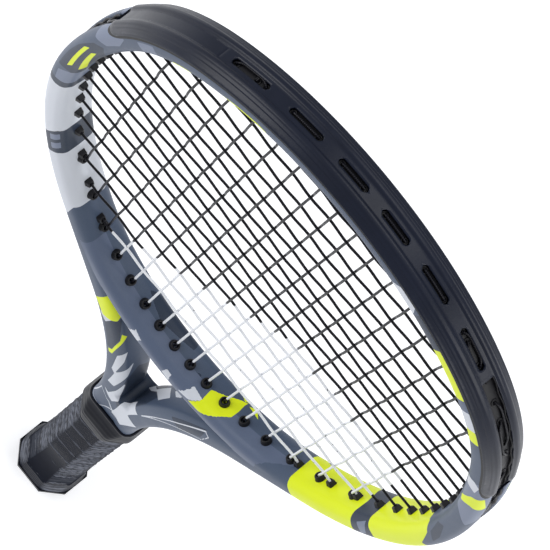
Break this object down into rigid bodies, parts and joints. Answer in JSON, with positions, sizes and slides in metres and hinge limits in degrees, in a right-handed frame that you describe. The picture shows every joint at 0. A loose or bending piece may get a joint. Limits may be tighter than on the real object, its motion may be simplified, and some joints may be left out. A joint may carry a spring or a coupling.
{
  "type": "tennis racket",
  "caption": "Full-size tennis racket with a hollow oval hoop, open throat, woven strings, bumper guard, octagonal wrapped handle and flared butt cap with a pull-off trap door.",
  "frame": {"origin": "centre of the butt cap's flat end face", "axes": "+Z along the racket from the butt to the tip, +X across the head, -Y out of the front of the string face"},
  "size_m": [0.276, 0.038, 0.686],
  "materials": {
    "frame_paint": "satin clear coat over slate, white and lime paint",
    "bridge_paint": "satin clear coat over slate paint",
    "bumper_plastic": "satin moulded",
    "grommet_nylon": "matte moulded",
    "string": "smooth monofilament",
    "foam": "open-cell",
    "pallet_plastic": "moulded",
    "butt_plastic": "satin moulded",
    "steel": "plain wire",
    "grip_wrap": "ribbed cushioned wrap",
    "tape": "thin vinyl",
    "collar_rubber": "matte"
  },
  "bodies": {
    "racket": {"frame_hairpin": "frame_paint", "throat_bridge": "bridge_paint", "bumper_guard": "bumper_plastic", "head_grommet_strip": "grommet_nylon", "left_grommet_strip": "grommet_nylon", "right_grommet_strip": "grommet_nylon", "throat_grommet_strip": "grommet_nylon", "main_strings": "string", "cross_strings": "string", "main_tie_off_knots": "string", "cross_tie_off_knots": "string", "shaft_foam": "foam", "front_pallet": "pallet_plastic", "back_pallet": "pallet_plastic", "butt_cap": "butt_plastic", "butt_staples": "steel", "grip": "grip_wrap", "grip_tack": "steel", "finishing_tape": "tape", "grip_collar": "collar_rubber"},
    "door": {"butt_cap_door": "butt_plastic"}
  },
  "joints": [
    {"name": "door_slide", "type": "slide", "parent": "racket", "child": "door", "axis": [0, 0, -1], "range_m": [0, 0.012]}
  ]
}
